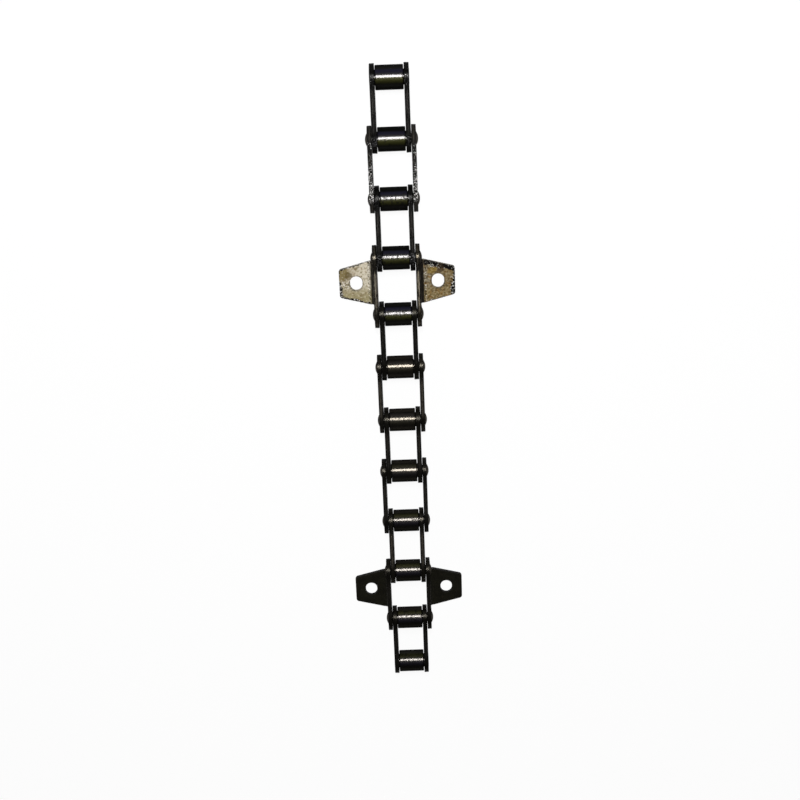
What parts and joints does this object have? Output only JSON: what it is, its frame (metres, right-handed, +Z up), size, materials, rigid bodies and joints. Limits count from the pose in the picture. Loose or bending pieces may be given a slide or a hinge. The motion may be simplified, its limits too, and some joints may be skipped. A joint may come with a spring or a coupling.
{
  "type": "conveyor chain",
  "caption": "Straight run of agricultural conveyor roller chain with inner and outer links, free-turning rollers and bent bolt-on attachment tabs on both sides.",
  "frame": {"origin": "centre of the chain's footprint, on the floor that its plate edges and tabs rest on", "axes": "+Z up from the floor, Y along the chain with joint 1 at the +Y end, X along the pins"},
  "size_m": [0.0828, 0.474, 0.0222],
  "materials": {
    "plate_steel": "blackened rolled plate, oiled, worn bright along the edges",
    "tab_steel": "blackened plate worn through to grey-brown steel with rust stains",
    "roller_steel": "dark oiled steel, polished by running",
    "bush_steel": "dark oiled steel",
    "pin_steel": "dark oiled steel with riveted heads"
  },
  "bodies": {
    "inner_link_01": {"inner_plate_01_left": "plate_steel", "inner_plate_01_right": "plate_steel", "bush_01": "bush_steel", "bush_02": "bush_steel"},
    "outer_link_02": {"outer_plate_02_left": "plate_steel", "outer_plate_02_right": "plate_steel", "pin_02": "pin_steel", "pin_03": "pin_steel"},
    "inner_link_03": {"inner_plate_03_left": "plate_steel", "inner_plate_03_right": "plate_steel", "bush_03": "bush_steel", "bush_04": "bush_steel"},
    "attachment_link_04": {"attachment_plate_04_left": "tab_steel", "attachment_plate_04_right": "tab_steel", "pin_04": "pin_steel", "pin_05": "pin_steel"},
    "inner_link_05": {"inner_plate_05_left": "plate_steel", "inner_plate_05_right": "plate_steel", "bush_05": "bush_steel", "bush_06": "bush_steel"},
    "outer_link_06": {"outer_plate_06_left": "plate_steel", "outer_plate_06_right": "plate_steel", "pin_06": "pin_steel", "pin_07": "pin_steel"},
    "inner_link_07": {"inner_plate_07_left": "plate_steel", "inner_plate_07_right": "plate_steel", "bush_07": "bush_steel", "bush_08": "bush_steel"},
    "outer_link_08": {"outer_plate_08_left": "plate_steel", "outer_plate_08_right": "plate_steel", "pin_08": "pin_steel", "pin_09": "pin_steel"},
    "inner_link_09": {"inner_plate_09_left": "plate_steel", "inner_plate_09_right": "plate_steel", "bush_09": "bush_steel", "bush_10": "bush_steel"},
    "attachment_link_10": {"attachment_plate_10_left": "tab_steel", "attachment_plate_10_right": "tab_steel", "pin_10": "pin_steel", "pin_11": "pin_steel"},
    "inner_link_11": {"inner_plate_11_left": "plate_steel", "inner_plate_11_right": "plate_steel", "bush_11": "bush_steel", "bush_12": "bush_steel"},
    "roller_01_body": {"roller_01": "roller_steel"},
    "roller_02_body": {"roller_02": "roller_steel"},
    "roller_03_body": {"roller_03": "roller_steel"},
    "roller_04_body": {"roller_04": "roller_steel"},
    "roller_05_body": {"roller_05": "roller_steel"},
    "roller_06_body": {"roller_06": "roller_steel"},
    "roller_07_body": {"roller_07": "roller_steel"},
    "roller_08_body": {"roller_08": "roller_steel"},
    "roller_09_body": {"roller_09": "roller_steel"},
    "roller_10_body": {"roller_10": "roller_steel"},
    "roller_11_body": {"roller_11": "roller_steel"},
    "roller_12_body": {"roller_12": "roller_steel"}
  },
  "joints": [
    {"name": "hinge_02", "type": "hinge", "parent": "outer_link_02", "child": "inner_link_01", "pos_m": [0, 0.18606, 0.00953], "axis": [-1, 0, 0], "range_deg": [-140, 140]},
    {"name": "hinge_03", "type": "hinge", "parent": "inner_link_03", "child": "outer_link_02", "pos_m": [0, 0.14466, 0.00953], "axis": [1, 0, 0], "range_deg": [-144.4, 135.6]},
    {"name": "hinge_04", "type": "hinge", "parent": "attachment_link_04", "child": "inner_link_03", "pos_m": [0, 0.10338, 0.0127], "axis": [-1, 0, 0], "range_deg": [-144.4, 135.6]},
    {"name": "hinge_05", "type": "hinge", "parent": "inner_link_05", "child": "attachment_link_04", "pos_m": [0, 0.06198, 0.0127], "axis": [1, 0, 0], "range_deg": [-135.6, 144.4]},
    {"name": "hinge_06", "type": "hinge", "parent": "outer_link_06", "child": "inner_link_05", "pos_m": [0, 0.0207, 0.00953], "axis": [-1, 0, 0], "range_deg": [-135.6, 144.4]},
    {"name": "hinge_07", "type": "hinge", "parent": "outer_link_06", "child": "inner_link_07", "pos_m": [0, -0.0207, 0.00953], "axis": [-1, 0, 0], "range_deg": [-140, 140]},
    {"name": "hinge_08", "type": "hinge", "parent": "inner_link_07", "child": "outer_link_08", "pos_m": [0, -0.0621, 0.00953], "axis": [1, 0, 0], "range_deg": [-140, 140]},
    {"name": "hinge_09", "type": "hinge", "parent": "outer_link_08", "child": "inner_link_09", "pos_m": [0, -0.1035, 0.00953], "axis": [-1, 0, 0], "range_deg": [-144.4, 135.6]},
    {"name": "hinge_10", "type": "hinge", "parent": "inner_link_09", "child": "attachment_link_10", "pos_m": [0, -0.14478, 0.0127], "axis": [1, 0, 0], "range_deg": [-144.4, 135.6]},
    {"name": "hinge_11", "type": "hinge", "parent": "attachment_link_10", "child": "inner_link_11", "pos_m": [0, -0.18618, 0.0127], "axis": [-1, 0, 0], "range_deg": [-135.6, 144.4]},
    {"name": "roller_01_turn", "type": "hinge", "parent": "inner_link_01", "child": "roller_01_body", "pos_m": [0, 0.22746, 0.00953], "axis": [1, 0, 0], "continuous": true},
    {"name": "roller_02_turn", "type": "hinge", "parent": "inner_link_01", "child": "roller_02_body", "pos_m": [0, 0.18606, 0.00953], "axis": [1, 0, 0], "continuous": true},
    {"name": "roller_03_turn", "type": "hinge", "parent": "inner_link_03", "child": "roller_03_body", "pos_m": [0, 0.14466, 0.00953], "axis": [1, 0, 0], "continuous": true},
    {"name": "roller_04_turn", "type": "hinge", "parent": "inner_link_03", "child": "roller_04_body", "pos_m": [0, 0.10338, 0.0127], "axis": [1, 0, 0], "continuous": true},
    {"name": "roller_05_turn", "type": "hinge", "parent": "inner_link_05", "child": "roller_05_body", "pos_m": [0, 0.06198, 0.0127], "axis": [1, 0, 0], "continuous": true},
    {"name": "roller_06_turn", "type": "hinge", "parent": "inner_link_05", "child": "roller_06_body", "pos_m": [0, 0.0207, 0.00953], "axis": [1, 0, 0], "continuous": true},
    {"name": "roller_07_turn", "type": "hinge", "parent": "inner_link_07", "child": "roller_07_body", "pos_m": [0, -0.0207, 0.00953], "axis": [1, 0, 0], "continuous": true},
    {"name": "roller_08_turn", "type": "hinge", "parent": "inner_link_07", "child": "roller_08_body", "pos_m": [0, -0.0621, 0.00953], "axis": [1, 0, 0], "continuous": true},
    {"name": "roller_09_turn", "type": "hinge", "parent": "inner_link_09", "child": "roller_09_body", "pos_m": [0, -0.1035, 0.00953], "axis": [1, 0, 0], "continuous": true},
    {"name": "roller_10_turn", "type": "hinge", "parent": "inner_link_09", "child": "roller_10_body", "pos_m": [0, -0.14478, 0.0127], "axis": [1, 0, 0], "continuous": true},
    {"name": "roller_11_turn", "type": "hinge", "parent": "inner_link_11", "child": "roller_11_body", "pos_m": [0, -0.18618, 0.0127], "axis": [1, 0, 0], "continuous": true},
    {"name": "roller_12_turn", "type": "hinge", "parent": "inner_link_11", "child": "roller_12_body", "pos_m": [0, -0.22746, 0.00953], "axis": [1, 0, 0], "continuous": true}
  ]
}
